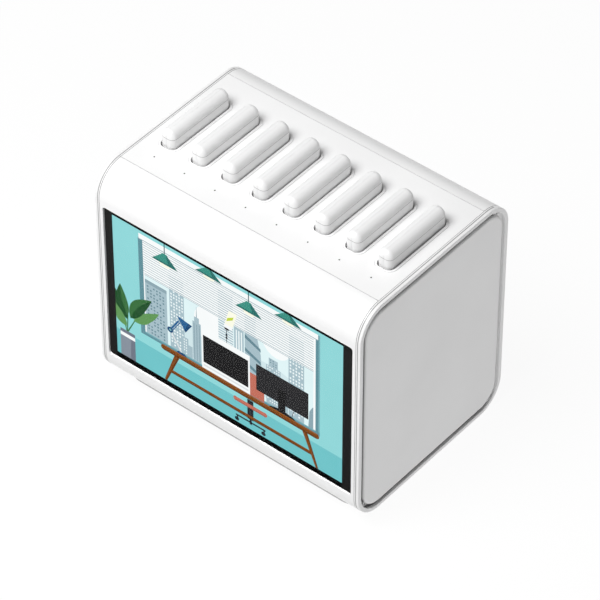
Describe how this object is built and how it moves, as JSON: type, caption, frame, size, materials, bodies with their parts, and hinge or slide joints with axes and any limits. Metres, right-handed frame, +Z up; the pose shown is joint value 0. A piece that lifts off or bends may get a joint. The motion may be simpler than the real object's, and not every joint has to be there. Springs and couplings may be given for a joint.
{
  "type": "power bank rental kiosk",
  "caption": "Counter-top phone charging kiosk: white rounded cabinet with a front display, a row of top slots holding lift-out power banks, rear power inlet and switch.",
  "frame": {"origin": "on the table, under the middle of the cabinet", "axes": "+X along the row of slots, -Y the display side, +Z up"},
  "size_m": [0.2484, 0.1704, 0.2233],
  "materials": {
    "white_gloss": "gloss",
    "white_satin": "satin",
    "bank_white": "gloss",
    "steel": "satin",
    "spring_steel": "satin",
    "zinc_sheet": "satin",
    "base_grey": "matte",
    "inner_grey": "matte",
    "ejector_grey": "matte",
    "foot_rubber": "matte",
    "clear_glass": "polished",
    "border_black": "gloss",
    "screen": "gloss",
    "light_pipe": "polished",
    "board_green": "satin",
    "socket_black": "matte",
    "rocker_black": "gloss",
    "coil_wrap": "satin",
    "cable_black": "matte"
  },
  "bodies": {
    "cabinet": {"main_shell": "white_gloss", "top_panel": "white_gloss", "slot_collars": "white_gloss", "left_end_frame": "white_gloss", "right_end_frame": "white_gloss", "left_side_panel": "white_gloss", "right_side_panel": "white_gloss", "frame_screws": "steel", "base_plate": "base_grey", "rubber_feet": "foot_rubber", "base_screws": "steel", "rear_cover": "white_satin", "rear_cover_screws": "steel", "cover_glass": "clear_glass", "glass_border": "border_black", "lcd_panel": "screen", "display_bracket": "inner_grey", "light_pipes": "light_pipe", "led_board": "board_green", "slot_cradles": "inner_grey", "slot_deck": "inner_grey", "slot_board": "board_green", "charging_blocks": "socket_black", "ejector_springs": "spring_steel", "lock_bracket": "zinc_sheet", "lock_coils": "coil_wrap", "power_supply": "zinc_sheet", "main_board": "board_green", "speaker": "socket_black", "antenna": "board_green", "wiring": "cable_black", "power_inlet": "socket_black", "switch_housing": "socket_black"},
    "power_rocker": {"power_rocker": "rocker_black"},
    "power_bank_1": {"power_bank_1": "bank_white"},
    "ejector_1": {"ejector_1": "ejector_grey"},
    "lock_bolt_1": {"lock_bolt_1": "steel"},
    "power_bank_2": {"power_bank_2": "bank_white"},
    "ejector_2": {"ejector_2": "ejector_grey"},
    "lock_bolt_2": {"lock_bolt_2": "steel"},
    "power_bank_3": {"power_bank_3": "bank_white"},
    "ejector_3": {"ejector_3": "ejector_grey"},
    "lock_bolt_3": {"lock_bolt_3": "steel"},
    "power_bank_4": {"power_bank_4": "bank_white"},
    "ejector_4": {"ejector_4": "ejector_grey"},
    "lock_bolt_4": {"lock_bolt_4": "steel"},
    "power_bank_5": {"power_bank_5": "bank_white"},
    "ejector_5": {"ejector_5": "ejector_grey"},
    "lock_bolt_5": {"lock_bolt_5": "steel"},
    "power_bank_6": {"power_bank_6": "bank_white"},
    "ejector_6": {"ejector_6": "ejector_grey"},
    "lock_bolt_6": {"lock_bolt_6": "steel"},
    "power_bank_7": {"power_bank_7": "bank_white"},
    "ejector_7": {"ejector_7": "ejector_grey"},
    "lock_bolt_7": {"lock_bolt_7": "steel"},
    "power_bank_8": {"power_bank_8": "bank_white"},
    "ejector_8": {"ejector_8": "ejector_grey"},
    "lock_bolt_8": {"lock_bolt_8": "steel"}
  },
  "joints": [
    {"name": "ejector_1_lift", "type": "slide", "parent": "cabinet", "child": "ejector_1", "axis": [0, 0, 1], "range_m": [0, 0.012]},
    {"name": "power_bank_1_pull_out", "type": "slide", "parent": "ejector_1", "child": "power_bank_1", "axis": [0, 0, 1], "range_m": [0, 0.125]},
    {"name": "lock_bolt_1_throw", "type": "slide", "parent": "cabinet", "child": "lock_bolt_1", "axis": [0, -1, 0], "range_m": [0, 0.0055]},
    {"name": "ejector_2_lift", "type": "slide", "parent": "cabinet", "child": "ejector_2", "axis": [0, 0, 1], "range_m": [0, 0.012]},
    {"name": "power_bank_2_pull_out", "type": "slide", "parent": "ejector_2", "child": "power_bank_2", "axis": [0, 0, 1], "range_m": [0, 0.125]},
    {"name": "lock_bolt_2_throw", "type": "slide", "parent": "cabinet", "child": "lock_bolt_2", "axis": [0, -1, 0], "range_m": [0, 0.0055]},
    {"name": "ejector_3_lift", "type": "slide", "parent": "cabinet", "child": "ejector_3", "axis": [0, 0, 1], "range_m": [0, 0.012]},
    {"name": "power_bank_3_pull_out", "type": "slide", "parent": "ejector_3", "child": "power_bank_3", "axis": [0, 0, 1], "range_m": [0, 0.125]},
    {"name": "lock_bolt_3_throw", "type": "slide", "parent": "cabinet", "child": "lock_bolt_3", "axis": [0, -1, 0], "range_m": [0, 0.0055]},
    {"name": "ejector_4_lift", "type": "slide", "parent": "cabinet", "child": "ejector_4", "axis": [0, 0, 1], "range_m": [0, 0.012]},
    {"name": "power_bank_4_pull_out", "type": "slide", "parent": "ejector_4", "child": "power_bank_4", "axis": [0, 0, 1], "range_m": [0, 0.125]},
    {"name": "lock_bolt_4_throw", "type": "slide", "parent": "cabinet", "child": "lock_bolt_4", "axis": [0, -1, 0], "range_m": [0, 0.0055]},
    {"name": "ejector_5_lift", "type": "slide", "parent": "cabinet", "child": "ejector_5", "axis": [0, 0, 1], "range_m": [0, 0.012]},
    {"name": "power_bank_5_pull_out", "type": "slide", "parent": "ejector_5", "child": "power_bank_5", "axis": [0, 0, 1], "range_m": [0, 0.125]},
    {"name": "lock_bolt_5_throw", "type": "slide", "parent": "cabinet", "child": "lock_bolt_5", "axis": [0, -1, 0], "range_m": [0, 0.0055]},
    {"name": "ejector_6_lift", "type": "slide", "parent": "cabinet", "child": "ejector_6", "axis": [0, 0, 1], "range_m": [0, 0.012]},
    {"name": "power_bank_6_pull_out", "type": "slide", "parent": "ejector_6", "child": "power_bank_6", "axis": [0, 0, 1], "range_m": [0, 0.125]},
    {"name": "lock_bolt_6_throw", "type": "slide", "parent": "cabinet", "child": "lock_bolt_6", "axis": [0, -1, 0], "range_m": [0, 0.0055]},
    {"name": "ejector_7_lift", "type": "slide", "parent": "cabinet", "child": "ejector_7", "axis": [0, 0, 1], "range_m": [0, 0.012]},
    {"name": "power_bank_7_pull_out", "type": "slide", "parent": "ejector_7", "child": "power_bank_7", "axis": [0, 0, 1], "range_m": [0, 0.125]},
    {"name": "lock_bolt_7_throw", "type": "slide", "parent": "cabinet", "child": "lock_bolt_7", "axis": [0, -1, 0], "range_m": [0, 0.0055]},
    {"name": "ejector_8_lift", "type": "slide", "parent": "cabinet", "child": "ejector_8", "axis": [0, 0, 1], "range_m": [0, 0.012]},
    {"name": "power_bank_8_pull_out", "type": "slide", "parent": "ejector_8", "child": "power_bank_8", "axis": [0, 0, 1], "range_m": [0, 0.125]},
    {"name": "lock_bolt_8_throw", "type": "slide", "parent": "cabinet", "child": "lock_bolt_8", "axis": [0, -1, 0], "range_m": [0, 0.0055]},
    {"name": "power_rocker_tip", "type": "hinge", "parent": "cabinet", "child": "power_rocker", "pos_m": [-0.062, 0.07625, 0.044], "axis": [1, 0, 0], "range_deg": [0, 20]}
  ]
}
